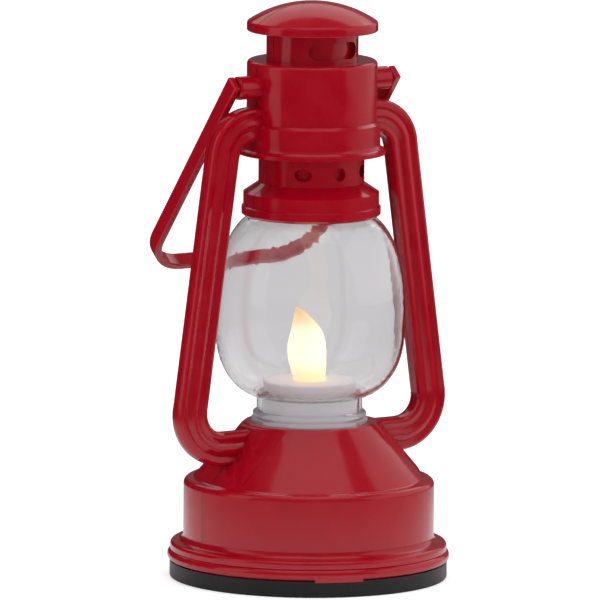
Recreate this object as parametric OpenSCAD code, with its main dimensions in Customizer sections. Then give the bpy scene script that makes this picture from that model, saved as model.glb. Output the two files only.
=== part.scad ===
// Battery lantern in the style of a hurricane lamp.
// Origin: centre of the underside. +Z up, the side tubes lie in the XZ plane, the front is -Y.

/* [Base] */
// Radius of the round wall of the base
base_r = 37.7; // [36:0.1:46]
// How far the foot stands out past the base wall
foot_out = 4.0; // [3.4:0.1:6]
// Height of the black tray's rim
tray_h = 5.0; // [4.8:0.1:6]
// Height of the round bead over the tray
bead_h = 3.5; // [2.5:0.1:4]
// How far the bead stands proud of the tray
bead_proud = 0.8; // [0.4:0.1:1.5]
// Height of the skirt over the bead
skirt_h = 2.4; // [1.8:0.1:4]
// Height of the base wall, from the tray's rim to the shoulder
base_h = 25.0; // [24.6:0.1:32]
// Width of the flat shoulder
shoulder_w = 2.8; // [2:0.1:5]
// Height of the cone over the shoulder
cone_h = 17.2; // [15:0.1:22]
// Radius of the cone's flat top
cone_top_r = 19.5; // [19.2:0.1:22]
// Half width of the flat-faced pads where the tubes meet the cone
pad_half_w = 12.4; // [9:0.1:13]
// How far the top edge of a pad stands out past the cone's flat top
pad_out = 2.3; // [1.5:0.1:3]
// How far the face of a pad runs out for each millimetre down
pad_slope = 0.64; // [0.5:0.01:0.7]
// Angle between the tube and the side facet of a pad
pad_turn = 34.8; // [30:0.1:40]

/* [Globe] */
// Largest radius of the globe
globe_r = 28.5; // [24:0.1:30]
// Height of the globe between the cone and its holder
globe_h = 62.2; // [54:0.1:76]
// Height from the cone to the globe's widest part
globe_mid_h = 28.8; // [26:0.1:32]
// Radius of the globe's neck
neck_r = 15.9; // [14.6:0.1:16.1]
// Thickness of the globe wall
globe_wall = 1.2; // [0.8:0.1:1.4]
// Radius of the lip that stands inside the holder
lip_r = 18.0; // [16.5:0.1:18.2]

/* [Flame and cup] */
// Height of the white cup over the cone
cup_h = 12.3; // [10:0.1:15]
// Height of the flame over the cup
flame_h = 22.2; // [16:0.1:28]
// Largest radius of the flame
flame_r = 5.85; // [4.8:0.05:7.5]
// How far the flame's tip leans to one side
flame_lean = 4.1; // [1:0.1:6]
// How far the flame's belly sways the same way
flame_sway = 1.0; // [0:0.1:1.5]

/* [Head] */
// Radius of the globe holder
holder_r = 20.4; // [20.2:0.1:21]
// Radius of the lower neck
low_neck_r = 15.9; // [15.2:0.1:18]
// Height of the lower neck
low_neck_h = 8.7; // [6:0.1:12]
// Radius of the round vent recesses
vent_r = 2.0; // [1.2:0.1:2.6]
// Distance between the vent recesses
vent_pitch = 10.4; // [6.5:0.1:11]
// Depth of the vent recesses and of the slot
recess_depth = 1.8; // [0.8:0.1:2.2]
// Radius of the drum
drum_r = 19.6; // [18.8:0.1:21]
// Height of the drum
drum_h = 28.1; // [26.5:0.1:34]
// Radius of the upper neck
up_neck_r = 13.8; // [11.5:0.1:15.5]
// Height of the upper neck
up_neck_h = 8.8; // [7.6:0.1:12]
// Half length of the slot recess in the upper neck
slot_half_l = 8.4; // [4:0.1:8.6]
// Half height of the slot recess in the upper neck
slot_half_h = 2.55; // [1.5:0.05:3.2]
// Radius of the cap
cap_r = 19.7; // [18:0.1:22]
// Height of the cap
cap_h = 8.8; // [8:0.1:11]

/* [Side tubes] */
// Width of a tube in the plane of the frame
tube_w = 10.4; // [8.4:0.1:10.8]
// Thickness of a tube from front to back
tube_t = 6.2; // [5:0.1:6.4]
// Distance from the drum to the corner of the upper bend
tube_head_out = 10.75; // [10:0.05:12]
// Distance from the base wall to the corner of the lower bend
tube_foot_out = 6.3; // [4:0.1:9]
// Radius of the upper bend's centreline
head_bend_r = 10.0; // [8:0.1:10.5]
// Radius of the lower bend's centreline
foot_bend_r = 11.0; // [8:0.1:12]
// Width of the outer rib
rib_outer_w = 2.7; // [2:0.1:3.2]
// Width of the middle rib
rib_mid_w = 4.2; // [3:0.1:4.4]
// Width of the grooves between the ribs
groove_w = 0.2; // [0.1:0.05:0.4]

/* [Bail] */
// Reach of the bail from its pivot to its outer face
bail_reach = 77.2; // [70:0.1:90]
// Width of the bail strip
bail_w = 5.0; // [3.5:0.1:5.2]
// Thickness of the bail strip
bail_t = 2.2; // [1.5:0.1:2.8]
// Outer radius of the bail's corners
bail_corner_r = 13.0; // [8:0.5:20]
// How far the strip's ends run past the pivot
bail_end = 2.6; // [2.4:0.1:4]
// Angle at which the bail leans back from straight down
bail_rest = 39.4; // [39:0.1:45]
// Radius of the bail's pivot pins
pin_r = 2.2; // [1.6:0.05:2.6]
// Radius of the bosses that carry the bail
boss_r = 3.5; // [3.3:0.1:4.2]
// Length of the bosses outside the drum
boss_out = 7.4; // [6.5:0.1:9]

/* [Walls and fits] */
// Wall thickness of the body halves
wall = 2.0; // [1.6:0.1:2.2]
// Clearance of parts that are dropped into each other
fit_gap = 0.2; // [0.1:0.05:0.3]
// Radial clearance of the pivot pins
run_gap = 0.05; // [0.03:0.01:0.1]
// Clearance around parts that move
move_gap = 0.3; // [0.3:0.05:0.45]

/* [Battery bay] */
// Diameter of a cell
cell_d = 14.5; // [10.5:0.1:14.6]
// Length of a cell with its button
cell_l = 50.5; // [44.5:0.1:50.6]
// Number of cells
cells = 3; // [3]
// Thickness of the battery door
door_t = 2.5; // [2:0.1:2.8]
// Travel of the switch slider
slider_travel = 3.6; // [2:0.1:4]

/* [Fasteners] */
// Radius of a small screw's shank
screw_r = 1.25; // [1:0.05:1.5]
// Radius of a small screw's head
head_r = 2.6; // [2:0.1:2.8]
// Thickness of a small screw's head
head_h = 1.3; // [1:0.1:1.4]

/* [Hidden] */
$fn = 64;

red = [0.68, 0.02, 0.10];
black = [0.12, 0.12, 0.12];
steel = [0.72, 0.72, 0.72];

// ---- heights and radii of the red body ----
tray_r = base_r + foot_out;
skirt_z = tray_h + bead_h + skirt_h;
shoulder_z = tray_h + base_h;
cone_foot_r = base_r - shoulder_w;
cone_z = shoulder_z + cone_h;
cone_run = cone_foot_r - cone_top_r;
cone_tilt = atan2(cone_h, cone_run);
bead_r = tray_r + bead_proud;
edge_r = 1.1;
cove_r = 2.2;
base_edge_r = 1.8;
shoulder_fillet = 1.5;
cone_edge_r = 0.9;

holder_z = cone_z + globe_h;
holder_rim = 0.5;
holder_h = 7.3;
holder_cone_h = 3.0;
low_neck_z = holder_z + holder_h + holder_cone_h;
drum_z = low_neck_z + low_neck_h;
drum_rim_out = 2.7;
drum_rim_h = 1.2;
band_out = 1.0;
band_h = 9.0;
bevel_h = 0.8;
flare_r = drum_rim_out - band_out;
drum_top_z = drum_z + drum_h;
drum_edge_r = 1.2;
slot_rise = 3.8;
vent_drop = 4.9;
cap_z = drum_top_z + up_neck_h;
cap_rim_h = 2.7;
cap_edge_r = 1.2;
top_z = cap_z + cap_h;
dome_rise = cap_h - cap_rim_h;
dome_r = (cap_r * cap_r + dome_rise * dome_rise) / (2 * dome_rise);
dome_z = top_z - dome_r;
cap_edge_x = cap_r - cap_edge_r;
cap_edge_rise = sqrt(pow(dome_r - cap_edge_r, 2) - pow(cap_edge_x, 2));
cap_edge_a = atan2(cap_edge_rise, cap_edge_x);

// ---- seats of the globe and the cup in the cone ----
ledge_h = 1.5;
flange_t = 1.2;
globe_bore_r = neck_r - 1.5;
spigot_r = neck_r - 0.3;
globe_flange_r = neck_r + 2.1;
globe_flange_z = cone_z - wall - 0.1 - flange_t;
cup_flange_z = globe_flange_z - 0.1 - flange_t;
ledge_z = cup_flange_z - fit_gap;
cup_r = globe_bore_r - 0.3;
cup_top_z = cone_z + cup_h;
cup_skin = 1.6;
board_z = cone_z + 1.8;
board_t = 1.6;
board_r = cup_r - 1.5;
flame_foot_r = flame_r - 1.3;
flame_az = -32.5;
flame_pin_r = flame_foot_r - 0.8;
flame_pin_h = 3.0;
led_r = 2.5;

// ---- side tubes ----
tube_half = tube_w / 2;
head_corner = [drum_r + tube_head_out, drum_z + band_h + 0.9];
foot_corner = [base_r + tube_foot_out, cone_z - 1.0 - tube_half];
splay = atan2(foot_corner[0] - head_corner[0], head_corner[1] - foot_corner[1]);
head_turn = 90 - splay;
foot_turn = 90 + splay;
head_c = [head_corner[0] - head_bend_r * tan(head_turn / 2), head_corner[1] - head_bend_r];
foot_c = [foot_corner[0] - foot_bend_r * tan(foot_turn / 2), foot_corner[1] + foot_bend_r];
out_dir = [cos(splay), sin(splay)];
leg_top = head_c + head_bend_r * out_dir;
leg_foot = foot_c + foot_bend_r * out_dir;
leg_l = norm(leg_top - leg_foot);
side_rib_v = tube_t / 2 - 0.35;
groove_v = tube_t / 2 - 0.8;

// ---- bail and its bosses ----
pivot_z = drum_top_z - 7.1;
boss_x = drum_r + boss_out;
bail_in_x = boss_x + 0.4;
bail_out_x = bail_in_x + bail_t;
pin_in_x = boss_x - 5.0;
bore_in_x = pin_in_x - 0.5;

// ---- battery bay ----
floor_z = 1.5;
floor_t = door_t;
floor_top = floor_z + floor_t;
cell_pitch = cell_d + 0.2;
cell_z = floor_top + 0.4 + cell_d / 2;
contact_x = cell_l / 2 + 2.05;
contact_t = 0.4;
bay_half_x = contact_x + contact_t + 0.1;
bay_half_y = (cells * cell_pitch) / 2 + 0.25;
bay_r = base_r - wall - 1.3;
bay_wall = 1.1;
bay_top = cell_z + cell_d / 2 + 0.5;
tray_gap = 1.8;
spigot_top = tray_h + bead_h;
door_half_x = bay_half_x - move_gap;
door_half_y = bay_half_y - move_gap;
door_r = bay_r - move_gap;
hinge_x = -door_half_x + door_t / 2;
hinge_z = floor_z + door_t / 2;
tab_r = 3.6;
tab_screw_x = door_half_x + 2.9;
tab_screw_l = 5.0;

// ---- screws ----
pilot_gap = 0.02;
base_screw_r = base_r - 5.9;
base_screw_az = [67, 113, 247, 293];
base_boss_r = 4.2;
base_screw_l = 12.0;
seat_y = 6.0;
shell_screw_l = 12.0;
shell_boss_r = 3.8;
recess_r = head_r + 0.4;
shell_screw_at = [[-22, shoulder_z - wall - 2.7], [22, shoulder_z - wall - 2.7],
                  [0, pivot_z - 2]];
slider_y = -(base_r - 8.6);
board_screw_x = cup_r - 5.0;

// Points of an arc, from angle a0 to a1
function arc(cx, cz, r, a0, a1, n = 6) =
    [for (i = [0:n]) let (a = a0 + (a1 - a0) * i / n) [cx + r * cos(a), cz + r * sin(a)]];

// Radius of the cone's outer line at height z, moved in by d along its normal
function cone_r(z, d = 0) = cone_foot_r - (z - shoulder_z) / tan(cone_tilt) - d / sin(cone_tilt);

// Half of the globe's bulb as a superellipse: from radius r out to the middle (up = 1: above it)
bulb_n = 2.2;
bulb_core = neck_r - 3.9;
bulb_low_h = globe_mid_h - 7.1;
bulb_high_z = cone_z + globe_mid_h + 6.0;
bulb_high_h = globe_h - globe_mid_h - 3.9;
function bulb_angle(r, span) = acos(pow((r - bulb_core) / span, bulb_n / 2));
function bulb(r, inset, up, n = 12) =
    let (span = globe_r - bulb_core - inset,
         h = (up > 0 ? bulb_high_h : bulb_low_h) - inset,
         zc = up > 0 ? bulb_high_z : cone_z + globe_mid_h,
         a0 = bulb_angle(r, span))
    [for (i = [0:n]) let (a = a0 * (1 - i / n))
        [bulb_core + span * pow(cos(a), 2 / bulb_n), zc + up * h * pow(sin(a), 2 / bulb_n)]];
function reversed(list) = [for (i = [len(list) - 1:-1:0]) list[i]];

// One of the two halves of a turned shape: side -1 is the front, 1 the back
module half_turn(side) {
    rotate([0, 0, side > 0 ? 0 : 180]) rotate_extrude(angle = 180) children();
}

// Both sides of the lamp
module both_sides() {
    children();
    mirror([1, 0, 0]) children();
}

// A cylinder from y0 to y1, along Y
module y_cylinder(x, z, r, y0, y1) {
    translate([x, max(y0, y1), z]) rotate([90, 0, 0]) cylinder(h = abs(y1 - y0), r = r);
}

module low_outline() {
    fillet_x = cone_r(shoulder_z + shoulder_fillet, -shoulder_fillet);
    edge_x = cone_r(cone_z - cone_edge_r, cone_edge_r);
    polygon(concat(
        [[0, tray_h]],
        arc(bead_r - bead_h / 2, tray_h + bead_h / 2, bead_h / 2, -90, 90, 10),
        [[tray_r - 0.1, tray_h + bead_h]],
        arc(tray_r - 0.1 - edge_r, skirt_z - edge_r, edge_r, 0, 90),
        arc(base_r + cove_r, skirt_z + cove_r, cove_r, -90, -180),
        arc(base_r - base_edge_r, shoulder_z - base_edge_r, base_edge_r, 0, 90),
        arc(fillet_x, shoulder_z + shoulder_fillet, shoulder_fillet, -90, -90 - cone_tilt),
        arc(edge_x, cone_z - cone_edge_r, cone_edge_r, 90 - cone_tilt, 90, 4),
        [[0, cone_z]]));
}

module low_cavity() {
    inner_shoulder = shoulder_z - wall;
    inner_top = cone_z - wall;
    polygon([[0, tray_h - 1], [tray_r - tray_gap, tray_h - 1], [tray_r - tray_gap, spigot_top + 0.3],
             [base_r - wall, spigot_top + 0.3], [base_r - wall, inner_shoulder],
             [cone_r(inner_shoulder, wall), inner_shoulder],
             [cone_r(ledge_z - ledge_h, wall), ledge_z - ledge_h],
             [neck_r + 0.4, ledge_z - ledge_h], [neck_r + 0.4, ledge_z],
             [cone_r(ledge_z, wall), ledge_z], [cone_r(inner_top, wall), inner_top],
             [spigot_r + 0.15, inner_top], [spigot_r + 0.15, cone_z + 1], [0, cone_z + 1]]);
}

module head_outline() {
    polygon(concat(
        [[0, holder_z], [holder_r - 0.5, holder_z], [holder_r + holder_rim, holder_z + 0.8],
         [holder_r + holder_rim, holder_z + 3.0], [holder_r, holder_z + 3.3],
         [holder_r, holder_z + holder_h], [low_neck_r, low_neck_z], [low_neck_r, drum_z]],
        [[drum_r + drum_rim_out, drum_z], [drum_r + drum_rim_out, drum_z + drum_rim_h]],
        arc(drum_r + drum_rim_out, drum_z + drum_rim_h + flare_r, flare_r, -90, -180),
        [[drum_r + band_out, drum_z + band_h], [drum_r, drum_z + band_h + bevel_h]],
        arc(drum_r - drum_edge_r, drum_top_z - drum_edge_r, drum_edge_r, 0, 90),
        [[up_neck_r, drum_top_z], [up_neck_r, cap_z]],
        arc(cap_r - 0.4, cap_z + 0.4, 0.4, -90, 0, 4),
        arc(cap_edge_x, dome_z + cap_edge_rise, cap_edge_r, 0, cap_edge_a),
        arc(0, dome_z, dome_r, cap_edge_a, 90, 16)));
}

module head_cavity() {
    neck_wall = recess_depth + 0.9;
    neck_in = low_neck_r - neck_wall;
    lid_r = up_neck_r + 0.7;
    dome_in = dome_r - wall;
    polygon(concat(
        [[0, holder_z - 1], [lip_r + 1.5, holder_z - 1], [lip_r + 1.5, holder_z + 0.2],
         [lip_r + 0.3, holder_z + 1.4], [lip_r + 0.3, holder_z + 4.8], [neck_in, holder_z + 4.8],
         [neck_in, drum_z + wall], [drum_r - wall, drum_z + wall],
         [drum_r - wall, drum_top_z - wall], [up_neck_r - neck_wall, drum_top_z - wall],
         [up_neck_r - neck_wall, cap_z + wall], [lid_r, cap_z + wall]],
        arc(0, dome_z, dome_in, acos(lid_r / dome_in), 90, 10)));
}

// Half of the ribbed section of a tube: u across the frame, outward positive; v to one face
function rib(u0, u1, top, low0, low1, n = 6) =
    [for (i = [0:n]) let (a = 180 - 180 * i / n, low = i < n / 2 ? low0 : low1)
        [(u0 + u1) / 2 + (u1 - u0) / 2 * cos(a), max(low, top * pow(max(0, sin(a)), 0.55))]];
mid_u1 = tube_half - rib_outer_w - groove_w;
mid_u0 = mid_u1 - rib_mid_w;
// The straight runs are a hair slimmer than the bends and reach a little into them
slim = 0.988;
lap = 0.5;
module half_section(side) {
    points = concat(
        rib(-tube_half, mid_u0 - groove_w, side_rib_v, 0, groove_v),
        rib(mid_u0, mid_u1, tube_t / 2, groove_v, groove_v),
        rib(mid_u1 + groove_w, tube_half, side_rib_v, groove_v, 0));
    polygon([for (p = points) [p[0], side * p[1]]]);
}

// The hollow inside a tube
module channel_section() {
    square([tube_w - 2 * wall, tube_t - 2 * wall + 0.6], center = true);
}

module bend(c, r, a0, a1) {
    translate([c[0], 0, c[1]]) rotate([90, 0, 0]) rotate([0, 0, a0])
        rotate_extrude(angle = a1 - a0) translate([r, 0]) children();
}

module leg_run() {
    translate([leg_foot[0], 0, leg_foot[1]]) rotate([0, -splay, 0]) translate([0, 0, -lap])
        linear_extrude(leg_l + 2 * lap) scale(slim) children();
}

// The front or back half of the tube on the +X side
module tube_side(side) {
    x0 = drum_r - wall + 0.5;
    x1 = cone_top_r - 1;
    translate([head_c[0] + lap, 0, head_corner[1]]) rotate([0, -90, 0])
        linear_extrude(head_c[0] + lap - x0) scale(slim) half_section(side);
    bend(head_c, head_bend_r, splay, 90) half_section(-side);
    leg_run() half_section(side);
    bend(foot_c, foot_bend_r, -90, splay) half_section(-side);
    translate([x1, 0, foot_corner[1]]) rotate([0, 90, 0])
        linear_extrude(foot_c[0] + lap - x1) scale(slim) half_section(side);
}

module tube_channel() {
    bend(head_c, head_bend_r, splay, 90) channel_section();
    leg_run() channel_section();
    bend(foot_c, foot_bend_r, -90, splay) channel_section();
}

// Half of a pad where a tube meets the cone: an end face under the tube and a turned side facet
module cone_pad(side) {
    z_top = cone_z - 0.5;
    z_foot = shoulder_z + 0.8;
    x_in = cone_top_r - 8;
    x_top = cone_top_r + pad_out;
    y0 = side > 0 ? pad_half_w : 0;
    intersection() {
        translate([0, y0, 0]) rotate([90, 0, 0]) linear_extrude(pad_half_w)
            polygon([[x_in, z_foot], [x_top + pad_slope * (z_top - z_foot), z_foot],
                     [x_top, z_top], [x_in, z_top]]);
        rotate([0, 0, side * pad_turn]) rotate([90, 0, 0])
            linear_extrude(2 * base_r, center = true)
                polygon([[-base_r, z_foot - 1], [cone_r(z_foot - 1, 0.25), z_foot - 1],
                         [cone_r(z_top + 1, -0.15), z_top + 1], [-base_r, z_top + 1]]);
    }
}

// Half of the boss that carries one end of the bail
module bail_boss(side) {
    chamfer = 0.6;
    x0 = drum_r - wall + 0.5;
    translate([0, 0, pivot_z]) rotate([side > 0 ? 0 : 180, 0, 0]) rotate([0, 90, 0])
        rotate_extrude(angle = 180)
            polygon([[0, x0], [boss_r, x0], [boss_r, boss_x - chamfer],
                     [boss_r - chamfer, boss_x], [0, boss_x]]);
}

// A post for a tray screw, joined to the base wall
module tray_post(az) {
    rotate([0, 0, az]) translate([base_screw_r, 0, tray_h + 0.1])
        cylinder(h = shoulder_z - wall / 2 - tray_h - 0.1, r = base_boss_r);
}

module body_half(side) {
    difference() {
        union() {
            difference() {
                union() {
                    half_turn(side) low_outline();
                    both_sides() cone_pad(side);
                    half_turn(side) head_outline();
                    both_sides() bail_boss(side);
                    both_sides() tube_side(side);
                }
                rotate_extrude() low_cavity();
                rotate_extrude() head_cavity();
                both_sides() tube_channel();
            }
            for (az = base_screw_az) if (sin(az) * side > 0) tray_post(az);
            for (at = shell_screw_at) intersection() {
                y_cylinder(at[0], at[1], shell_boss_r, 0, side * base_r);
                cylinder(h = top_z, r = (at[1] > shoulder_z ? drum_r : base_r) - wall / 2);
            }
        }
        both_sides() translate([bore_in_x, 0, pivot_z]) rotate([0, 90, 0])
            cylinder(h = boss_x - bore_in_x + 1, r = pin_r + run_gap);
        difference() {
            for (x = [-vent_pitch, 0, vent_pitch])
                y_cylinder(x, drum_z - vent_drop, vent_r, 0, side * (low_neck_r + 1));
            cylinder(h = top_z, r = low_neck_r - recess_depth);
        }
        difference() {
            upper_slot(side);
            cylinder(h = top_z, r = up_neck_r - recess_depth);
        }
        for (az = base_screw_az) rotate([0, 0, az]) translate([base_screw_r, 0, 0])
            cylinder(h = floor_z + base_screw_l + 1.5, r = screw_r + pilot_gap);
        for (at = shell_screw_at) shell_screw_hole(side, at);
    }
}

module upper_slot(side) {
    straight = slot_half_l - slot_half_h;
    z = drum_top_z + slot_rise;
    for (x = [-straight, straight]) y_cylinder(x, z, slot_half_h, 0, side * (up_neck_r + 1));
    translate([-straight, side > 0 ? 0 : -(up_neck_r + 1), z - slot_half_h])
        cube([2 * straight, up_neck_r + 1, 2 * slot_half_h]);
}

module shell_screw_hole(side, at) {
    if (side < 0) {
        y_cylinder(at[0], at[1], screw_r + pilot_gap, -(shell_screw_l - seat_y) - 2, 1);
    } else {
        y_cylinder(at[0], at[1], screw_r + fit_gap, -1, seat_y + 1);
        y_cylinder(at[0], at[1], recess_r, seat_y, base_r + 1);
    }
}

module front_shell() color(red) {
    body_half(-1);
    rotate([0, 0, 240.3]) rotate_extrude(angle = 20)
        translate([tray_r + 0.05, tray_h - 0.3]) square([0.6, 2]);
}

module back_shell() color(red) body_half(1);

module globe() color([0.9, 0.93, 0.95, 0.35]) rotate_extrude() {
    bead = 0.9;
    foot_h = 1.4;
    lip_top = holder_z + 4.5;
    polygon(concat(
        [[globe_bore_r, globe_flange_z], [globe_flange_r, globe_flange_z],
         [globe_flange_r, globe_flange_z + flange_t], [spigot_r, globe_flange_z + flange_t],
         [spigot_r, cone_z + 0.02], [neck_r + 1.4, cone_z + 0.02], [neck_r + 1.6, cone_z + 0.3],
         [neck_r + 1.6, cone_z + foot_h - 0.3], [neck_r + 1.3, cone_z + foot_h],
         [neck_r + 0.6, cone_z + foot_h]],
        arc(neck_r + 0.3, cone_z + foot_h + 0.2 + bead, bead, -90, 90, 8),
        [[neck_r, cone_z + foot_h + 0.3 + 2 * bead]],
        bulb(neck_r, 0, -1),
        reversed(bulb(lip_r, 0, 1)),
        [[lip_r, lip_top], [lip_r - globe_wall, lip_top]],
        bulb(lip_r - globe_wall, globe_wall, 1),
        reversed(bulb(globe_bore_r, globe_wall, -1))));
}

module candle_cup() color([0.95, 0.95, 0.93]) {
    post_z = board_z + board_t;
    difference() {
        union() {
            rotate_extrude() polygon(concat(
                [[cup_r - 1.2, cup_flange_z], [globe_flange_r - 0.2, cup_flange_z],
                 [globe_flange_r - 0.2, cup_flange_z + flange_t], [cup_r, cup_flange_z + flange_t]],
                arc(cup_r - 0.6, cup_top_z - 0.6, 0.6, 0, 90, 4),
                [[0, cup_top_z], [0, cup_top_z - cup_skin], [cup_r - 2.6, cup_top_z - cup_skin],
                 [cup_r - 2.6, post_z], [cup_r - 1.2, post_z]]));
            for (x = [-board_screw_x, board_screw_x]) translate([x, 0, post_z])
                cylinder(h = cup_top_z - 1 - post_z, r = 2.2);
        }
        translate([0, 0, cup_top_z - cup_skin - 1])
            cylinder(h = cup_skin + 2, r = flame_pin_r + 0.1);
        for (x = [-board_screw_x, board_screw_x]) translate([x, 0, post_z - 1])
            cylinder(h = 6, r = 0.8 + pilot_gap);
    }
}

// Radius and sideways place of the flame at height t, 0 to 1
function flame_radius(t) = t < 0.4
    ? flame_foot_r + (flame_r - flame_foot_r) * sin(90 * t / 0.4)
    : flame_r * pow(cos(90 * (t - 0.4) / 0.6), 0.82);
function flame_shift(t) = -flame_sway * sin(180 * min(t, 0.5))
    - (flame_lean - flame_sway) * pow(max(0, (t - 0.62) / 0.38), 1.7);
lean_dir = [cos(flame_az), sin(flame_az)];

module flame() color([1, 0.93, 0.78]) {
    sides = 40;
    rings = 36;
    rows = [for (j = [0:rings - 1]) let (t = j / rings, r = flame_radius(t), s = flame_shift(t))
        [for (i = [0:sides - 1]) let (a = 360 * i / sides)
            [s * lean_dir[0] + r * cos(a), s * lean_dir[1] + r * sin(a),
             cup_top_z + 0.02 + flame_h * t]]];
    tip = [flame_shift(1) * lean_dir[0], flame_shift(1) * lean_dir[1], cup_top_z + flame_h];
    points = concat([for (row = rows) each row], [tip]);
    faces = concat(
        [[for (i = [0:sides - 1]) i]],
        [for (j = [0:rings - 2], i = [0:sides - 1]) let (k = (i + 1) % sides)
            [j * sides + k, j * sides + i, (j + 1) * sides + i, (j + 1) * sides + k]],
        [for (i = [0:sides - 1]) [(rings - 1) * sides + (i + 1) % sides, (rings - 1) * sides + i,
                                  rings * sides]]);
    difference() {
        union() {
            polyhedron(points, faces, convexity = 4);
            translate([0, 0, cup_top_z + 0.02]) cylinder(h = 0.6, r = flame_foot_r + 0.45);
            translate([0, 0, cup_top_z - flame_pin_h]) cylinder(h = flame_pin_h + 1, r = flame_pin_r);
        }
        translate([0, 0, cup_top_z - flame_pin_h - 1]) cylinder(h = flame_pin_h + 6.5, r = led_r + 0.4);
    }
}

module flame_clip() color(steel) translate([0, 0, cup_top_z - cup_skin - 0.9]) difference() {
    cylinder(h = 0.6, r = flame_pin_r + 2.2);
    translate([0, 0, -1]) cylinder(h = 3, r = flame_pin_r + 0.02);
}

module led() color([1, 0.85, 0.5]) {
    z = cup_top_z - 3.4;
    translate([0, 0, z]) {
        cylinder(h = 5.2, r = led_r);
        translate([0, 0, 5.2]) sphere(r = led_r);
        translate([0, 0, -1]) cylinder(h = 1, r = led_r + 0.3);
        for (x = [-1.27, 1.27]) translate([x, 0, board_z + board_t - z])
            cylinder(h = z - 1 - board_z - board_t, r = 0.25);
    }
}

module led_board() color([0.1, 0.4, 0.2]) translate([0, 0, board_z]) difference() {
    cylinder(h = board_t - 0.02, r = board_r);
    for (x = [-board_screw_x, board_screw_x]) translate([x, 0, -1]) cylinder(h = 4, r = 1.0);
}

module board_screws() color(steel) for (x = [-board_screw_x, board_screw_x])
    translate([x, 0, board_z - 1.2]) screw(0.8, 1.7, 1.18, 6.7);

// An insulated wire through hand-set points, each run lapping the next by half its radius
module wire(points, r = 0.6) {
    for (i = [0:len(points) - 2]) {
        d = points[i + 1] - points[i];
        l = norm(d);
        foot = i == 0 ? 0 : r / 2;
        head = i == len(points) - 2 ? 0 : r / 2;
        translate(points[i]) rotate([0, acos(d[2] / l), atan2(d[1], d[0])])
            translate([0, 0, -foot]) cylinder(h = l + foot + head, r = r, $fn = 8);
    }
}

module led_leads() {
    under_board = board_z - 0.05;
    bay_lid = bay_top + bay_wall + 0.8;
    switch_y = slider_y + 0.5;
    switch_top = floor_top + 7.2;
    color("firebrick") wire([[4, -4, under_board], [5, -6, ledge_z - 6], [5, -20, bay_top + 7],
                             [2, switch_y + 0.5, bay_top - 1], [2, switch_y, switch_top]]);
    color("black") wire([[-4, -4, under_board], [-5, -5, ledge_z - 7], [-12, -6, bay_top + 5],
                         [-16, -4, bay_lid]]);
    color("firebrick") wire([[-2, switch_y, switch_top], [-2, switch_y + 0.5, bay_top + 3],
                             [4, -20, bay_top + 5], [14, -10, bay_lid]]);
}

// The outline of the battery bay, grown by d
module bay_outline(d = 0) {
    intersection() {
        square([2 * (bay_half_x + d), 2 * (bay_half_y + d)], center = true);
        circle(r = bay_r + d, $fn = 96);
    }
}

module tab_outline(d = 0) {
    translate([tab_screw_x, 0]) circle(r = tab_r + d);
    translate([door_half_x - 3, -tab_r - d]) square([tab_screw_x - door_half_x + 3, 2 * (tab_r + d)]);
}

module base_tray() color(black) {
    rim_w = 3.2;
    spigot_w = 1.8;
    foot_edge = 0.6;
    screw_z = floor_top + 0.3;
    difference() {
        union() {
            rotate_extrude() polygon(concat(
                [[0, floor_z], [tray_r - rim_w, floor_z], [tray_r - rim_w, 0]],
                arc(tray_r - foot_edge, foot_edge, foot_edge, -90, 0, 4),
                [[tray_r, tray_h - 0.05], [tray_r - 2, tray_h - 0.05], [tray_r - 2, spigot_top],
                 [tray_r - 2 - spigot_w, spigot_top], [tray_r - 2 - spigot_w, floor_top],
                 [0, floor_top]]));
            translate([0, 0, floor_top - 0.5]) linear_extrude(bay_top + bay_wall - floor_top + 0.5)
                bay_outline(bay_wall);
            for (az = base_screw_az) rotate([0, 0, az]) translate([base_screw_r, 0, floor_top - 0.5])
                cylinder(h = tray_h - floor_top + 0.5, r = base_boss_r);
            translate([tab_screw_x, 0, floor_top - 0.5]) cylinder(h = tab_screw_l + 2.8, r = 3.4);
        }
        translate([0, 0, floor_z - 1]) linear_extrude(bay_top - floor_z + 1) bay_outline();
        translate([0, 0, floor_z - 1]) linear_extrude(screw_z - floor_z + 1) tab_outline(move_gap);
        translate([tab_screw_x, 0, floor_z]) cylinder(h = floor_t + tab_screw_l + 1, r = screw_r + 0.6);
        for (az = base_screw_az) rotate([0, 0, az]) translate([base_screw_r, 0, floor_z - 1]) {
            cylinder(h = tray_h + 2, r = screw_r + fit_gap);
            cylinder(h = head_h + 1 + 0.3, r = head_r + 0.3);
        }
        translate([0, slider_y, floor_z + floor_t / 2])
            cube([slider_travel + 4 + 2 * move_gap, 3.4 + 2 * move_gap, floor_t + 2], center = true);
    }
}

// A pan-head screw along +Z: head from 0 to h, shank up to l, with a cross recess
module screw(r, head, h, l) {
    arm = head * 0.62;
    difference() {
        union() {
            cylinder(h = h, r = head);
            cylinder(h = l, r = r);
        }
        for (turn = [0, 90]) rotate([0, 0, turn])
            translate([-arm, -head * 0.12, -1]) cube([2 * arm, head * 0.24, 1 + h * 0.55]);
    }
}

module base_screws() color(steel) for (az = base_screw_az)
    rotate([0, 0, az]) translate([base_screw_r, 0, floor_z + 0.25])
        screw(screw_r, head_r, head_h, base_screw_l);

module shell_screws() color(steel) for (at = shell_screw_at)
    translate([at[0], seat_y + 2, at[1]]) rotate([90, 0, 0])
        screw(screw_r, head_r, 1.98, shell_screw_l + 2);

// One cell; its button points along dir (1 or -1)
module cell(row, dir) {
    button_h = 1.0;
    translate([0, (row - (cells + 1) / 2) * cell_pitch, cell_z]) rotate([0, dir * 90, 0])
        translate([0, 0, contact_x - cell_l - 0.05]) {
            color("dimgray") cylinder(h = cell_l - button_h, r = cell_d / 2);
            color("goldenrod") translate([0, 0, cell_l - button_h]) cylinder(h = button_h, r = 2.75);
        }
}

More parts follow.
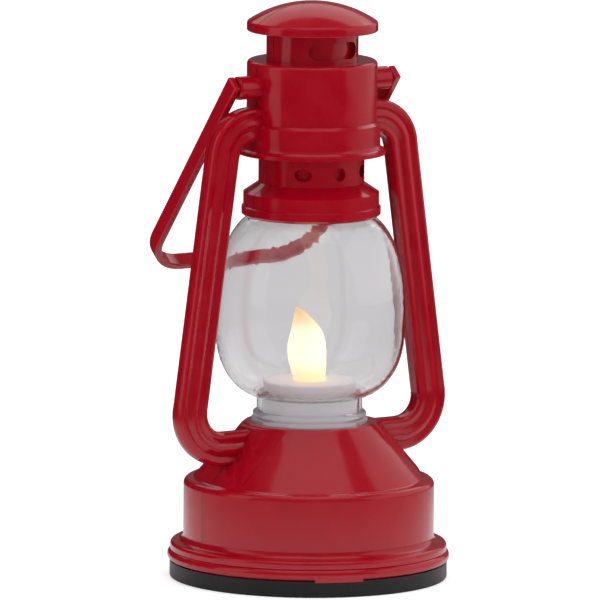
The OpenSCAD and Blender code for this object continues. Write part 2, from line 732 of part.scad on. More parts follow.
module battery_1() cell(1, 1);
module battery_2() cell(2, -1);
module battery_3() cell(3, 1);

module battery_springs() color(steel) for (row = [1:cells]) {
    dir = row % 2 == 1 ? -1 : 1;
    gap = 2 * contact_x - cell_l - 0.1;
    translate([0, (row - (cells + 1) / 2) * cell_pitch, cell_z]) rotate([0, dir * 90, 0])
        for (i = [0:3]) translate([0, 0, contact_x - gap / 8 - i * gap / 4])
            rotate_extrude() translate([5 - i, 0]) circle(r = gap / 8 - 0.03, $fn = 16);
}

module battery_contacts() color(steel) for (side = [-1, 1]) {
    single = -side * cell_pitch;
    pair_y = side * cell_pitch / 2;
    plate = cell_d - 3.5;
    for (p = [[single, plate], [pair_y, cell_pitch + plate]])
        translate([side * (contact_x + contact_t / 2 + 0.02), p[0], cell_z])
            cube([contact_t, p[1], plate], center = true);
}

module battery_door() color(black) difference() {
    edge_y = min(door_half_y, sqrt(door_r * door_r - door_half_x * door_half_x));
    union() {
        translate([0, 0, floor_z]) linear_extrude(door_t) intersection() {
            translate([hinge_x + door_t, -door_half_y])
                square([door_half_x - hinge_x - door_t, 2 * door_half_y]);
            circle(r = door_r, $fn = 96);
        }
        translate([hinge_x, -edge_y, floor_z]) cube([door_t + 1, 2 * edge_y, door_t]);
        translate([0, 0, floor_z]) linear_extrude(door_t) tab_outline();
        translate([hinge_x, edge_y, hinge_z]) rotate([90, 0, 0]) cylinder(h = 2 * edge_y, r = door_t / 2);
    }
    translate([tab_screw_x, 0, floor_z - 1]) {
        cylinder(h = door_t + 2, r = screw_r + 0.02);
        cylinder(h = 1 + head_h, r = head_r + 0.02);
    }
}

module battery_door_screw() color(steel) translate([tab_screw_x, 0, floor_z + 0.1])
    screw(screw_r, head_r, head_h - 0.12, door_t + tab_screw_l - 0.6);

module switch_body() color(black) translate([0, slider_y, floor_top + 0.02]) difference() {
    translate([-5.5, -3, 0]) cube([11, 6, 6.5]);
    translate([-2.6 - slider_travel / 2, -1.6, -1]) cube([5.2 + slider_travel, 3.2, 3]);
}

module switch_slider() color("white") translate([-slider_travel / 2, slider_y, 0]) {
    translate([-2, -1.7, floor_z - 0.9]) cube([4, 3.4, floor_t + 0.5]);
    translate([-1.6, -1.3, floor_top - 0.5]) cube([3.2, 2.6, 2.0]);
    for (x = [-1.2, 0, 1.2]) translate([x - 0.25, -1.7, floor_z - 1.2]) cube([0.5, 3.4, 0.5]);
}

// Outline of the bail in its own plane: x across, y along the reach, origin at the pivot
module bail_outline(inset) {
    x = bail_out_x - inset;
    reach = bail_reach - inset;
    r = bail_corner_r - inset;
    polygon(concat([[-x, -bail_end - inset], [x, -bail_end - inset]],
                   arc(x - r, reach - r, r, 0, 90, 16), arc(r - x, reach - r, r, 90, 180, 16)));
}

module bail() color(red) translate([0, 0, pivot_z]) rotate([bail_rest - 90, 0, 0]) {
    translate([0, 0, -bail_w / 2]) linear_extrude(bail_w) difference() {
        bail_outline(0);
        bail_outline(bail_t);
    }
    both_sides() translate([pin_in_x, 0, 0]) rotate([0, 90, 0])
        cylinder(h = bail_in_x + bail_t / 2 - pin_in_x, r = pin_r);
}

front_shell();
back_shell();
globe();
candle_cup();
flame();
flame_clip();
led();
led_board();
board_screws();
led_leads();
base_tray();
base_screws();
shell_screws();
battery_1();
battery_2();
battery_3();
battery_springs();
battery_contacts();
battery_door();
battery_door_screw();
switch_body();
switch_slider();
bail();
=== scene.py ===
import math

import bmesh
import bpy
from mathutils import Matrix, Vector


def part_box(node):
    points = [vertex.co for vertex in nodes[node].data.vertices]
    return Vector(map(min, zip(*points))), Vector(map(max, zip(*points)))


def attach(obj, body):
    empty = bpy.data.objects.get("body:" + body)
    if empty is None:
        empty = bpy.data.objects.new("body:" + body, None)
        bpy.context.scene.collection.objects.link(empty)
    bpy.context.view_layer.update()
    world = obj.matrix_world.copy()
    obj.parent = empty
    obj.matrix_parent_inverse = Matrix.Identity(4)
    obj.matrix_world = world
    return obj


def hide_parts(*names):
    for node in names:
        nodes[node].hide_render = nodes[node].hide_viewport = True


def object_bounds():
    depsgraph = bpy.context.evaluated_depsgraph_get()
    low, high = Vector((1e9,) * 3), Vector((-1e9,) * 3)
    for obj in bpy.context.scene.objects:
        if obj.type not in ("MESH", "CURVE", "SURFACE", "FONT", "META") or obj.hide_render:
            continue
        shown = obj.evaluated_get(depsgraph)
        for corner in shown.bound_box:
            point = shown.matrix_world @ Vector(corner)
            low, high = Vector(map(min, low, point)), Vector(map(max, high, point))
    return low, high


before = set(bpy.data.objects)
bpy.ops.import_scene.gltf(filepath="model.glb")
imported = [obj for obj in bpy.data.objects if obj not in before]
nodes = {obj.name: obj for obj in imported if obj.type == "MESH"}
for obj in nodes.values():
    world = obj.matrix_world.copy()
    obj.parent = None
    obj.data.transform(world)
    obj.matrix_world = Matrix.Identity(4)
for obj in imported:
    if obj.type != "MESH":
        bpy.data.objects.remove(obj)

MM = 0.001
cad_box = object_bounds()


# ---- Base tray ----
# The black tray closes the underside and carries the battery bay. It is one moulding in
# satin-textured styrene, pushed up into the red skirt and held by four screws.

def welded_copy(node, name, body, round_mm=0.0):
    """The node's own shape with smooth shading and, where asked, softened edges."""
    mesh = nodes[node].data.copy()
    mesh.name = name
    shaper = bmesh.new()
    shaper.from_mesh(mesh)
    bmesh.ops.remove_doubles(shaper, verts=shaper.verts, dist=0.002 * MM)
    if round_mm:
        bmesh.ops.dissolve_limit(shaper, angle_limit=math.radians(0.5),
                                 verts=shaper.verts, edges=shaper.edges)
    smooth_below = math.radians(34)
    for face in shaper.faces:
        face.smooth = True
    for edge in shaper.edges:
        edge.smooth = len(edge.link_faces) == 2 and edge.calc_face_angle(0) < smooth_below
    shaper.to_mesh(mesh)
    shaper.free()
    piece = bpy.data.objects.new(name, mesh)
    bpy.context.scene.collection.objects.link(piece)
    if round_mm:
        bevel = piece.modifiers.new("rounded edges", "BEVEL")
        bevel.width = round_mm * MM
        bevel.segments = 3
        bevel.limit_method = "ANGLE"
        bevel.angle_limit = smooth_below
        bevel.use_clamp_overlap = True
    weights = piece.modifiers.new("flat faces stay flat", "WEIGHTED_NORMAL")
    weights.keep_sharp = True
    weights.weight = 60
    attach(piece, body)
    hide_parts(node)
    return piece


def material(name, **values):
    """A Principled material with its constant values set on the shader's own sockets."""
    made = bpy.data.materials.new(name)
    made.use_nodes = True
    shader = made.node_tree.nodes["Principled BSDF"]
    for socket, value in values.items():
        shader.inputs[socket.replace("_", " ")].default_value = value
    return made, shader


def dress(piece, made):
    piece.data.materials.clear()
    piece.data.materials.append(made)


def new_group(name, inputs, outputs):
    """An empty shader node group with the named sockets."""
    group = bpy.data.node_groups.new(name, "ShaderNodeTree")
    for label, kind, value in inputs:
        socket = group.interface.new_socket(label, in_out="INPUT", socket_type=kind)
        socket.default_value = value
    for label, kind in outputs:
        group.interface.new_socket(label, in_out="OUTPUT", socket_type=kind)
    return group, group.nodes.new("NodeGroupInput"), group.nodes.new("NodeGroupOutput")


def math_node(tree, operation, a, b=None, c=None, clamp=False):
    made = tree.nodes.new("ShaderNodeMath")
    made.operation = operation
    made.use_clamp = clamp
    for slot, value in enumerate((a, b, c)):
        if value is None:
            continue
        if isinstance(value, (int, float)):
            made.inputs[slot].default_value = value
        else:
            tree.links.new(value, made.inputs[slot])
    return made.outputs[0]


def noise(tree, coordinates, scale, detail=2.0, rough=0.5):
    made = tree.nodes.new("ShaderNodeTexNoise")
    tree.links.new(coordinates, made.inputs["Vector"])
    for socket, value in (("Scale", scale), ("Detail", detail), ("Roughness", rough)):
        if isinstance(value, (int, float)):
            made.inputs[socket].default_value = value
        else:
            tree.links.new(value, made.inputs[socket])
    return made.outputs["Fac"]


def ramp(tree, value, low, high, to_low=0.0, to_high=1.0):
    made = tree.nodes.new("ShaderNodeMapRange")
    made.interpolation_type = "SMOOTHSTEP"
    tree.links.new(value, made.inputs["Value"])
    for socket, number in (("From Min", low), ("From Max", high), ("To Min", to_low), ("To Max", to_high)):
        if isinstance(number, (int, float)):
            made.inputs[socket].default_value = number
        else:
            tree.links.new(number, made.inputs[socket])
    return made.outputs["Result"]


def mix_colour(tree, mask, a, b, blend="MIX"):
    made = tree.nodes.new("ShaderNodeMix")
    made.data_type = "RGBA"
    made.blend_type = blend
    if isinstance(mask, (int, float)):
        made.inputs["Factor"].default_value = mask
    else:
        tree.links.new(mask, made.inputs["Factor"])
    for socket, value in ((6, a), (7, b)):
        if isinstance(value, tuple):
            made.inputs[socket].default_value = value
        else:
            tree.links.new(value, made.inputs[socket])
    return made.outputs[2]


def seen_in_gloss(tree, path):
    """1 for rays that a glossy surface mirrors, 0 for camera, diffuse and refracted rays."""
    return math_node(tree, "SUBTRACT", path.outputs["Is Glossy Ray"],
                     path.outputs["Is Transmission Ray"], clamp=True)


def object_place(tree):
    made = tree.nodes.new("ShaderNodeTexCoord")
    return made.outputs["Object"]


def moulded_group():
    """Moulded plastic: slow waves of the surface, fine grain, hairline scratches and settled dust."""
    group, given, out = new_group(
        "moulded plastic surface",
        [("Wave size", "NodeSocketFloat", 60.0), ("Grain size", "NodeSocketFloat", 2500.0),
         ("Grain", "NodeSocketFloat", 0.3), ("Roughness", "NodeSocketFloat", 0.25),
         ("Scratches", "NodeSocketFloat", 0.3), ("Dust", "NodeSocketFloat", 0.2)],
        [("Roughness", "NodeSocketFloat"), ("Height", "NodeSocketFloat"),
         ("Tone", "NodeSocketFloat"), ("Dust", "NodeSocketFloat")])
    place = object_place(group)
    waves = noise(group, place, given.outputs["Wave size"], 1.5)
    grain = noise(group, place, given.outputs["Grain size"], 2.0, 0.6)
    stretched = group.nodes.new("ShaderNodeMapping")
    stretched.inputs["Scale"].default_value = (1.0, 1.0, 0.06)
    stretched.inputs["Rotation"].default_value = (0.5, 0.9, 0.3)
    group.links.new(place, stretched.inputs["Vector"])
    lines = noise(group, stretched.outputs["Vector"], 1400.0, 1.0)
    hair = math_node(group, "MULTIPLY", ramp(group, lines, 0.69, 0.74), given.outputs["Scratches"])
    patches = noise(group, place, 140.0, 3.0, 0.6)
    facing = group.nodes.new("ShaderNodeNewGeometry")
    split = group.nodes.new("ShaderNodeSeparateXYZ")
    group.links.new(facing.outputs["Normal"], split.inputs[0])
    upward = ramp(group, split.outputs["Z"], 0.35, 1.0)
    specks = ramp(group, noise(group, place, 1500.0, 2.0), 0.66, 0.74)
    dust = math_node(group, "MULTIPLY", math_node(group, "ADD", math_node(group, "MULTIPLY", upward, patches),
                                                  specks, clamp=True), given.outputs["Dust"])
    height = math_node(group, "MULTIPLY_ADD", grain, given.outputs["Grain"], waves)
    height = math_node(group, "SUBTRACT", height, math_node(group, "MULTIPLY", hair, 0.4))
    rough = math_node(group, "MULTIPLY_ADD", ramp(group, patches, 0.35, 0.7), 0.06,
                      given.outputs["Roughness"])
    rough = math_node(group, "ADD", rough, math_node(group, "MULTIPLY", hair, 0.25))
    rough = math_node(group, "ADD", rough, math_node(group, "MULTIPLY", dust, 0.5), clamp=True)
    for label, value in (("Roughness", rough), ("Height", height), ("Tone", patches), ("Dust", dust)):
        group.links.new(value, out.inputs[label])
    return group


MOULDED = moulded_group()


def moulded_surface(made, shader, bump_mm, **values):
    """Places the moulded surface group and joins it to roughness and normal; returns the group node."""
    tree = made.node_tree
    placed = tree.nodes.new("ShaderNodeGroup")
    placed.node_tree = MOULDED
    for socket, value in values.items():
        placed.inputs[socket.replace("_", " ")].default_value = value
    tree.links.new(placed.outputs["Roughness"], shader.inputs["Roughness"])
    bump = tree.nodes.new("ShaderNodeBump")
    bump.inputs["Strength"].default_value = 1.0
    bump.inputs["Distance"].default_value = bump_mm * MM
    tree.links.new(placed.outputs["Height"], bump.inputs["Height"])
    tree.links.new(bump.outputs["Normal"], shader.inputs["Normal"])
    return placed


def plastic(name, light, dark, dust_colour, bump_mm, surface, **values):
    """A moulded plastic whose tone drifts between two near colours under a little dust."""
    made, shader = material(name, **values)
    tree = made.node_tree
    placed = moulded_surface(made, shader, bump_mm, **surface)
    tone = mix_colour(tree, ramp(tree, placed.outputs["Tone"], 0.3, 0.7), dark, light)
    colour = mix_colour(tree, placed.outputs["Dust"], tone, dust_colour)
    tree.links.new(colour, shader.inputs["Base Color"])
    return made, shader, placed


black_styrene, _, _ = plastic(
    "black styrene", (0.010, 0.010, 0.0105, 1), (0.006, 0.006, 0.0065, 1), (0.16, 0.15, 0.15, 1), 0.02,
    {"Grain_size": 3200.0, "Grain": 0.9, "Roughness": 0.38, "Scratches": 0.3, "Dust": 0.03},
    Specular_IOR_Level=0.4)
tray = welded_copy("base_tray", "tray_moulding", "lamp")
dress(tray, black_styrene)


# ---- Battery door ----
# A flat lid in the same black styrene. It turns down on its rounded edge and is kept shut
# by one screw through its tab.

door = welded_copy("battery_door", "door_moulding", "battery_door")
dress(door, black_styrene)
GRIP_BARS = 5
GRIP_EDGE = 11.0 * MM
GRIP_PITCH = 2.2 * MM
GRIP_R = 0.5 * MM
GRIP_LENGTH = 16 * MM
door_low, door_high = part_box("battery_door")
for bar in range(GRIP_BARS):
    bar_x = door_high.x - GRIP_EDGE - GRIP_PITCH * bar
    mesh = bpy.data.meshes.new(f"door_grip_{bar + 1}")
    shaper = bmesh.new()
    bmesh.ops.create_cone(shaper, cap_ends=True, segments=16, radius1=GRIP_R, radius2=GRIP_R,
                          depth=GRIP_LENGTH)
    for end in (-GRIP_LENGTH / 2, GRIP_LENGTH / 2):
        bmesh.ops.create_uvsphere(shaper, u_segments=16, v_segments=8, radius=GRIP_R,
                                  matrix=Matrix.Translation((0, 0, end)))
    bmesh.ops.transform(shaper, matrix=Matrix.Rotation(math.pi / 2, 4, "X"), verts=shaper.verts)
    bmesh.ops.translate(shaper, vec=(bar_x, 0, door_low.z), verts=shaper.verts)
    for face in shaper.faces:
        face.smooth = True
    shaper.to_mesh(mesh)
    shaper.free()
    grip = bpy.data.objects.new(mesh.name, mesh)
    bpy.context.scene.collection.objects.link(grip)
    dress(grip, black_styrene)
    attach(grip, "battery_door")


# ---- Screws, contacts and springs ----
# Zinc-plated steel: self-tapping screws, stamped contact plates and wound springs. The
# plating is bright with fine brushed lines and a slight dull bloom.

steel, steel_shader = material("zinc plated steel", Metallic=1.0)
tree = steel.node_tree
placed = moulded_surface(steel, steel_shader, 0.01, Grain_size=4000.0, Grain=0.8, Roughness=0.26,
                         Scratches=1.0, Dust=0.05)
bloom = mix_colour(tree, ramp(tree, placed.outputs["Tone"], 0.4, 0.7), (0.55, 0.56, 0.58, 1),
                   (0.38, 0.39, 0.41, 1))
tree.links.new(bloom, steel_shader.inputs["Base Color"])
for name, body in (("base_screws", "lamp"), ("shell_screws", "lamp"), ("board_screws", "lamp"),
                   ("flame_clip", "lamp"), ("battery_contacts", "lamp"),
                   ("battery_door_screw", "battery_door")):
    fastener = welded_copy(name, name + "_plated", body)
    dress(fastener, steel)

spring_low, spring_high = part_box("battery_springs")
CELLS = 3
SPRING_TURNS = 4.5
WIRE_R = 0.35 * MM
SPRING_R = 5.0 * MM
for row in range(CELLS):
    cell_low, cell_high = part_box(f"battery_{row + 1}")
    centre = (cell_low + cell_high) / 2
    at_low_x = abs(cell_low.x - spring_low.x) > abs(spring_high.x - cell_high.x)
    start = spring_low.x + WIRE_R if at_low_x else spring_high.x - WIRE_R
    stop = cell_low.x - WIRE_R if at_low_x else cell_high.x + WIRE_R
    curve = bpy.data.curves.new(f"battery_spring_{row + 1}", "CURVE")
    curve.dimensions = "3D"
    curve.bevel_depth = WIRE_R
    curve.bevel_resolution = 3
    curve.use_fill_caps = True
    steps = int(SPRING_TURNS * 20)
    spline = curve.splines.new("POLY")
    spline.points.add(steps)
    for step in range(steps + 1):
        share = step / steps
        turn = 2 * math.pi * SPRING_TURNS * share
        radius = SPRING_R * (1 - 0.5 * share)
        spline.points[step].co = (start + (stop - start) * share, centre.y + radius * math.cos(turn),
                                  centre.z + radius * math.sin(turn), 1)
    spring = bpy.data.objects.new(curve.name, curve)
    bpy.context.scene.collection.objects.link(spring)
    spring.data.materials.append(steel)
    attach(spring, "lamp")
    if row == 0:
        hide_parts("battery_springs")


# ---- Cells ----
# Three AA cells in plain shrink sleeves: charcoal with a copper-coloured band at the
# button end, and bare nickelled steel at both end faces.

def sleeve(name, button_at_high_x, low_x, high_x):
    made, shader = material(name)
    tree = made.node_tree
    placed = moulded_surface(made, shader, 0.01, Grain_size=3000.0, Grain=0.3, Roughness=0.22,
                             Scratches=0.5, Dust=0.02)
    place = tree.nodes.new("ShaderNodeSeparateXYZ")
    tree.links.new(object_place(tree), place.inputs[0])
    x = place.outputs["X"]
    length = high_x - low_x
    from_button = math_node(tree, "SUBTRACT", high_x, x) if button_at_high_x else \
        math_node(tree, "SUBTRACT", x, low_x)
    band = math_node(tree, "LESS_THAN", from_button, 0.24 * length)
    bare = math_node(tree, "MAXIMUM", math_node(tree, "LESS_THAN", from_button, 1.3 * MM),
                     math_node(tree, "GREATER_THAN", from_button, length - 0.15 * MM))
    colour = mix_colour(tree, band, (0.018, 0.019, 0.021, 1), (0.50, 0.20, 0.06, 1))
    colour = mix_colour(tree, placed.outputs["Dust"], colour, (0.3, 0.3, 0.3, 1))
    colour = mix_colour(tree, bare, colour, (0.60, 0.59, 0.56, 1))
    tree.links.new(colour, shader.inputs["Base Color"])
    tree.links.new(math_node(tree, "MAXIMUM", bare, math_node(tree, "MULTIPLY", band, 0.5)),
                   shader.inputs["Metallic"])
    return made


for row in range(CELLS):
    cell_low, cell_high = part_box(f"battery_{row + 1}")
    cell = welded_copy(f"battery_{row + 1}", f"cell_{row + 1}", "lamp")
    dress(cell, sleeve(f"cell sleeve {row + 1}", row % 2 == 0, cell_low.x, cell_high.x))


# ---- Switch ----
# A small slide switch: black nylon housing inside the tray and a white ribbed slider
# that shows through the slot in the tray's floor.

black_nylon, _, _ = plastic(
    "black nylon", (0.030, 0.030, 0.031, 1), (0.020, 0.020, 0.021, 1), (0.2, 0.2, 0.2, 1), 0.015,
    {"Grain_size": 2600.0, "Grain": 0.7, "Roughness": 0.48, "Scratches": 0.2, "Dust": 0.05})
housing = welded_copy("switch_body", "switch_housing", "lamp", round_mm=0.2)
dress(housing, black_nylon)

white_styrene, white_shader, _ = plastic(
    "white styrene", (0.80, 0.80, 0.78, 1), (0.74, 0.74, 0.72, 1), (0.55, 0.53, 0.50, 1), 0.015,
    {"Grain_size": 2200.0, "Grain": 0.4, "Roughness": 0.34, "Scratches": 0.2, "Dust": 0.10})
white_shader.inputs["Subsurface Weight"].default_value = 0.25
white_shader.inputs["Subsurface Radius"].default_value = (1.0, 0.9, 0.8)
white_shader.inputs["Subsurface Scale"].default_value = 1.2 * MM
slider = welded_copy("switch_slider", "slider_moulding", "switch_slider", round_mm=0.12)
dress(slider, white_styrene)


# ---- Board, leads and LED ----
# A round green board screwed under the cup's top. Three insulated leads run down to the
# switch and the cells, and the warm LED stands up into the flame.

board_green, _, _ = plastic(
    "solder mask", (0.010, 0.16, 0.055, 1), (0.006, 0.10, 0.035, 1), (0.2, 0.25, 0.2, 1), 0.01,
    {"Grain_size": 1800.0, "Grain": 0.5, "Roughness": 0.30, "Scratches": 0.3, "Dust": 0.05})
dress(nodes["led_board"], board_green)
lead_cover, _, _ = plastic(
    "lead insulation", (0.35, 0.015, 0.012, 1), (0.25, 0.010, 0.010, 1), (0.3, 0.2, 0.2, 1), 0.01,
    {"Grain_size": 2200.0, "Grain": 0.3, "Roughness": 0.38, "Scratches": 0.1, "Dust": 0.03})
dress(nodes["led_leads"], lead_cover)
led_epoxy, _, _ = plastic(
    "warm epoxy", (0.95, 0.62, 0.20, 1), (0.85, 0.52, 0.15, 1), (0.8, 0.7, 0.5, 1), 0.005,
    {"Grain_size": 1800.0, "Grain": 0.2, "Roughness": 0.15, "Scratches": 0.0, "Dust": 0.0},
    Emission_Color=(1.0, 0.62, 0.25, 1), Emission_Strength=3.0)
led = welded_copy("led", "led_lens", "lamp")
dress(led, led_epoxy)


# ---- Candle cup ----
# A white moulded cup stands in the neck of the globe like the end of a candle. Its top
# is a plain disc with a hole for the flame. Its faint emission is a painted glow, standing in for the flame's
# light falling on it.

# The cup's emission is a painted glow: it brightens the white to stand in for the light from the flame and
# LED inside the globe.
cup_white_with_painted_glow, _, _ = plastic(
    "cup styrene with painted glow", (0.93, 0.91, 0.93, 1), (0.90, 0.88, 0.90, 1), (0.80, 0.78, 0.78, 1), 0.01,
    {"Grain_size": 2200.0, "Grain": 0.3, "Roughness": 0.40, "Scratches": 0.1, "Dust": 0.04},
    Emission_Color=(1.0, 0.94, 0.90, 1), Emission_Strength=0.09)
cup = welded_copy("candle_cup", "cup_moulding", "lamp")
dress(cup, cup_white_with_painted_glow)


# ---- Flame ----
# The flame is a hollow leaf of ivory silicone-like plastic over the LED. The light makes
# its belly nearly white, and it warms towards the thick tip and the foot.

flame_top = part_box("flame")[1].z
flame_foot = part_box("candle_cup")[1].z
flame_tall = flame_top - flame_foot
FLAME_WHITE = (1.0, 0.86, 0.62, 1)
FLAME_WARM = (1.0, 0.60, 0.27, 1)
ivory, ivory_shader = material("lit ivory plastic", Roughness=0.45, Subsurface_Weight=0.6)
ivory_shader.inputs["Subsurface Radius"].default_value = (1.0, 0.7, 0.4)
ivory_shader.inputs["Subsurface Scale"].default_value = 2.0 * MM
tree = ivory.node_tree
placed = moulded_surface(ivory, ivory_shader, 0.02, Wave_size=220.0, Grain_size=1500.0, Grain=0.3,
                         Roughness=0.42, Scratches=0.0, Dust=0.05)
place = tree.nodes.new("ShaderNodeSeparateXYZ")
tree.links.new(object_place(tree), place.inputs[0])
height = place.outputs["Z"]
warm_tip = ramp(tree, height, flame_foot + 0.58 * flame_tall, flame_top - 0.5 * MM)
warm_foot = ramp(tree, height, flame_foot + 0.36 * flame_tall, flame_foot - 1 * MM)
warm = math_node(tree, "MAXIMUM", warm_tip, math_node(tree, "MULTIPLY", warm_foot, 0.8))
glow = mix_colour(tree, warm, FLAME_WHITE, FLAME_WARM)
drift = mix_colour(tree, math_node(tree, "MULTIPLY", placed.outputs["Tone"], 0.12), glow, FLAME_WARM)
tree.links.new(mix_colour(tree, 0.5, (0.9, 0.82, 0.66, 1), drift), ivory_shader.inputs["Base Color"])
dim = math_node(tree, "MULTIPLY_ADD", warm, -0.42, 0.95)
tree.links.new(mix_colour(tree, 1.0, drift, dim, "MULTIPLY"), ivory_shader.inputs["Emission Color"])
ivory_shader.inputs["Emission Strength"].default_value = 1.0
flame = welded_copy("flame", "flame_leaf", "lamp")
dress(flame, ivory)


# ---- Globe ----
# The globe is clear moulded styrene, held by its foot and its lip between the two body
# halves. It has faint waves and specks of dust, and its double-ring foot is a little milky.

clear, clear_shader = material("clear styrene", Base_Color=(0.965, 0.96, 0.97, 1), Roughness=0.02, IOR=1.42,
                               Transmission_Weight=1.0)
tree = clear.node_tree
placed = moulded_surface(clear, clear_shader, 0.012, Wave_size=45.0, Grain_size=900.0, Grain=0.02,
                         Roughness=0.015, Scratches=0.05, Dust=0.03)
shade_free = tree.nodes.new("ShaderNodeMixShader")
through = tree.nodes.new("ShaderNodeBsdfTransparent")
through.inputs["Color"].default_value = (0.98, 0.98, 0.98, 1)
path = tree.nodes.new("ShaderNodeLightPath")
surface = tree.nodes["Material Output"].inputs["Surface"]
tree.links.new(path.outputs["Is Shadow Ray"], shade_free.inputs[0])
tree.links.new(clear_shader.outputs[0], shade_free.inputs[1])
tree.links.new(through.outputs[0], shade_free.inputs[2])
milky = tree.nodes.new("ShaderNodeBsdfDiffuse")
milky.inputs["Color"].default_value = (0.86, 0.82, 0.88, 1)
place = tree.nodes.new("ShaderNodeSeparateXYZ")
tree.links.new(object_place(tree), place.inputs[0])
globe_low_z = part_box("globe")[0].z
foot_milk = ramp(tree, place.outputs["Z"], globe_low_z + 5.7 * MM, globe_low_z + 8.5 * MM, 0.22, 0.0)
hazy = tree.nodes.new("ShaderNodeMixShader")
tree.links.new(foot_milk, hazy.inputs[0])
tree.links.new(shade_free.outputs[0], hazy.inputs[1])
tree.links.new(milky.outputs[0], hazy.inputs[2])
tree.links.new(hazy.outputs[0], surface)
globe = welded_copy("globe", "globe_moulding", "lamp")
dress(globe, clear)


# ---- Red body halves ----
# The body is two glossy red styrene mouldings, front and back, that meet in the plane of
# the side tubes. The parting line shows as a fine groove right round the lamp.

def red_styrene(name, seam):
    """Glossy red plastic; seam adds the parting line in the plane of the side tubes."""
    made, shader, placed = plastic(
        name, (0.41, 0.0, 0.011, 1), (0.38, 0.0, 0.010, 1), (0.50, 0.22, 0.22, 1), 0.11,
        {"Wave_size": 85.0, "Grain_size": 1900.0, "Grain": 0.02, "Roughness": 0.13,
         "Scratches": 0.10, "Dust": 0.012},
        Specular_IOR_Level=0.5, Coat_Weight=0.25, Coat_Roughness=0.08)
    if not seam:
        return made
    tree = made.node_tree
    place = tree.nodes.new("ShaderNodeSeparateXYZ")
    tree.links.new(object_place(tree), place.inputs[0])
    wander = math_node(tree, "MULTIPLY_ADD", noise(tree, object_place(tree), 130.0), 0.06 * MM, -0.03 * MM)
    off_plane = math_node(tree, "ABSOLUTE", math_node(tree, "ADD", place.outputs["Y"], wander))
    groove = ramp(tree, off_plane, 0.05 * MM, 0.20 * MM, 1.0, 0.0)
    bump = next(n for n in tree.nodes if n.bl_idname == "ShaderNodeBump")
    height = math_node(tree, "MULTIPLY_ADD", groove, -2.2, placed.outputs["Height"])
    tree.links.new(height, bump.inputs["Height"])
    colour = shader.inputs["Base Color"].links[0].from_socket
    shaded = mix_colour(tree, math_node(tree, "MULTIPLY", groove, 0.65), colour, (0.10, 0.0, 0.004, 1))
    tree.links.new(shaded, shader.inputs["Base Color"])
    return made


body_red = red_styrene("red styrene body", seam=True)
for node, name in (("front_shell", "front_moulding"), ("back_shell", "back_moulding")):
    half = welded_copy(node, name, "lamp")
    dress(half, body_red)


# ---- Bail ----
# A flat strip of the same red plastic, bent square with round corners. Its two pins snap
# into the bosses, and it falls back until it leans on the tubes.

bail = welded_copy("bail", "bail_strip", "bail", round_mm=0.45)
dress(bail, red_styrene("red styrene bail", seam=False))


# ---- Floor, light and camera ----
# A plain white sweep under four soft boxes and a white surround, with a long lens from the
# front left, a little above the lamp. The paper far from the lamp stays dark in reflections, and seen through
# the globe it is painted a darker grey, a painted shade.

CAMERA_AZIMUTH = -32.5
mesh = bpy.data.meshes.new("floor")
shaper = bmesh.new()
FLOOR_HALF = 6.0
BACK_Y = 3.0
SWEEP_R = 1.5
SWEEP_STEPS = 12
WALL_TOP = 8.0
profile = [(-FLOOR_HALF, 0.0)] + [
    (BACK_Y + SWEEP_R * math.sin(a), SWEEP_R - SWEEP_R * math.cos(a))
    for a in (math.pi / 2 * i / SWEEP_STEPS for i in range(SWEEP_STEPS + 1))
] + [(BACK_Y + SWEEP_R, WALL_TOP)]
rows = [[shaper.verts.new((x, y, z)) for y, z in profile] for x in (-FLOOR_HALF, FLOOR_HALF)]
for i in range(len(profile) - 1):
    shaper.faces.new((rows[0][i], rows[1][i], rows[1][i + 1], rows[0][i + 1])).smooth = True
shaper.to_mesh(mesh)
shaper.free()
floor = bpy.data.objects.new("floor", mesh)
bpy.context.scene.collection.objects.link(floor)
floor.rotation_euler.z = math.radians(-CAMERA_AZIMUTH)
paper, paper_shader = material("white paper", Roughness=0.9, Base_Color=(0.86, 0.86, 0.86, 1),
                               Specular_IOR_Level=0.1, Emission_Color=(1, 1, 1, 1))
tree = paper.node_tree
path = tree.nodes.new("ShaderNodeLightPath")
tree.links.new(math_node(tree, "MULTIPLY", path.outputs["Is Camera Ray"], 0.45),
               paper_shader.inputs["Emission Strength"])
spread = tree.nodes.new("ShaderNodeVectorMath")
spread.operation = "LENGTH"
tree.links.new(object_place(tree), spread.inputs[0])
far = ramp(tree, spread.outputs["Value"], 0.06, 0.34)
unlit = math_node(tree, "MULTIPLY", seen_in_gloss(tree, path), far)
# Rays refracted through the globe see the paper painted a darker grey: a painted shade that greys the globe.
paper_painted_shade_through_globe = mix_colour(tree, path.outputs["Is Transmission Ray"], (0.86, 0.86, 0.86, 1),
                          (0.62, 0.61, 0.61, 1))
tree.links.new(mix_colour(tree, unlit, paper_painted_shade_through_globe, (0.02, 0.02, 0.02, 1)),
               paper_shader.inputs["Base Color"])
dress(floor, paper)

world = bpy.data.worlds.new("white surround")
bpy.context.scene.world = world
world.use_nodes = True
surround = world.node_tree.nodes["Background"]
surround.inputs["Color"].default_value = (1, 1, 1, 1)
tree = world.node_tree
path = tree.nodes.new("ShaderNodeLightPath")
tree.links.new(math_node(tree, "MULTIPLY_ADD", seen_in_gloss(tree, path), -0.70, 0.80),
               surround.inputs["Strength"])

lamp_high = cad_box[1].z
middle = Vector((0, 0, 0.48 * lamp_high))


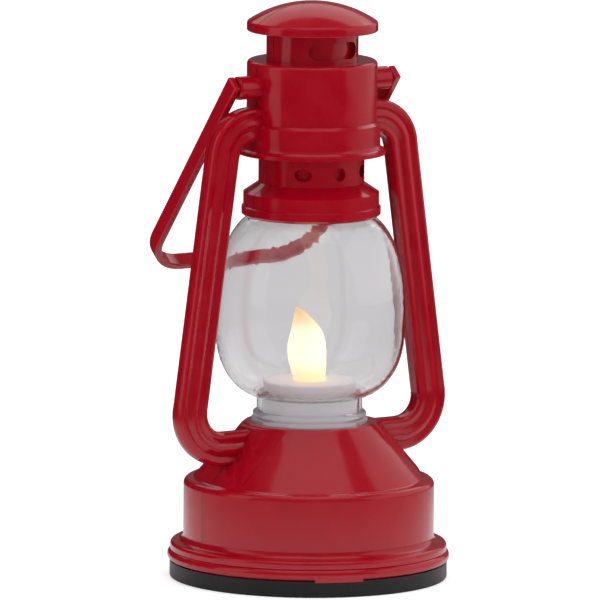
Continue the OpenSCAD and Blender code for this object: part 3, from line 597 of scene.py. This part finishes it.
def soft_box(name, azimuth, elevation, distance, width, tall, watts):
    """A rectangular light aimed at the lamp; azimuth counts from the front, to the right."""
    data = bpy.data.lights.new(name, "AREA")
    data.shape = "RECTANGLE"
    data.size = width
    data.size_y = tall
    data.energy = watts
    light = bpy.data.objects.new(name, data)
    bpy.context.scene.collection.objects.link(light)
    a, e = math.radians(azimuth), math.radians(elevation)
    back = Vector((math.sin(a) * math.cos(e), -math.cos(a) * math.cos(e), math.sin(e)))
    light.location = middle + back * distance
    light.rotation_mode = "QUATERNION"
    light.rotation_quaternion = back.to_track_quat("Z", "Y")
    return light


soft_box("left box", CAMERA_AZIMUTH - 69, elevation=18, distance=0.9, width=0.42, tall=1.1, watts=0.8)
soft_box("right box", CAMERA_AZIMUTH + 104, elevation=18, distance=0.9, width=1.8, tall=1.1, watts=3.0)
soft_box("top box", CAMERA_AZIMUTH + 10, elevation=76, distance=0.9, width=0.9, tall=0.7, watts=1.2)
soft_box("back box", CAMERA_AZIMUTH + 180, elevation=42, distance=1.2, width=1.4, tall=0.7, watts=2.0)

camera_data = bpy.data.cameras.new("camera")
camera = bpy.data.objects.new("camera", camera_data)
bpy.context.scene.collection.objects.link(camera)
bpy.context.scene.camera = camera
CAMERA_ELEVATION = 8.3
CAMERA_DISTANCE = 4.2
CAMERA_ROLL = 0.47
FIELD_W = 0.180
AIM_HEIGHT = 83.7 * MM
AIM_LEFT = 3.1 * MM
camera_data.sensor_width = 36.0
camera_data.lens = 36.0 * CAMERA_DISTANCE / FIELD_W
camera_data.clip_end = 50.0
a, e = math.radians(CAMERA_AZIMUTH), math.radians(CAMERA_ELEVATION)
back = Vector((math.sin(a) * math.cos(e), -math.cos(a) * math.cos(e), math.sin(e)))
right = Vector((math.cos(a), math.sin(a), 0))
aim = Vector((0, 0, AIM_HEIGHT)) - right * AIM_LEFT
camera.location = aim + back * CAMERA_DISTANCE
camera.rotation_mode = "QUATERNION"
camera.rotation_quaternion = back.to_track_quat("Z", "Y") @ Matrix.Rotation(
    math.radians(CAMERA_ROLL), 3, "Z").to_quaternion()

scene = bpy.context.scene
scene.view_settings.view_transform = "Standard"
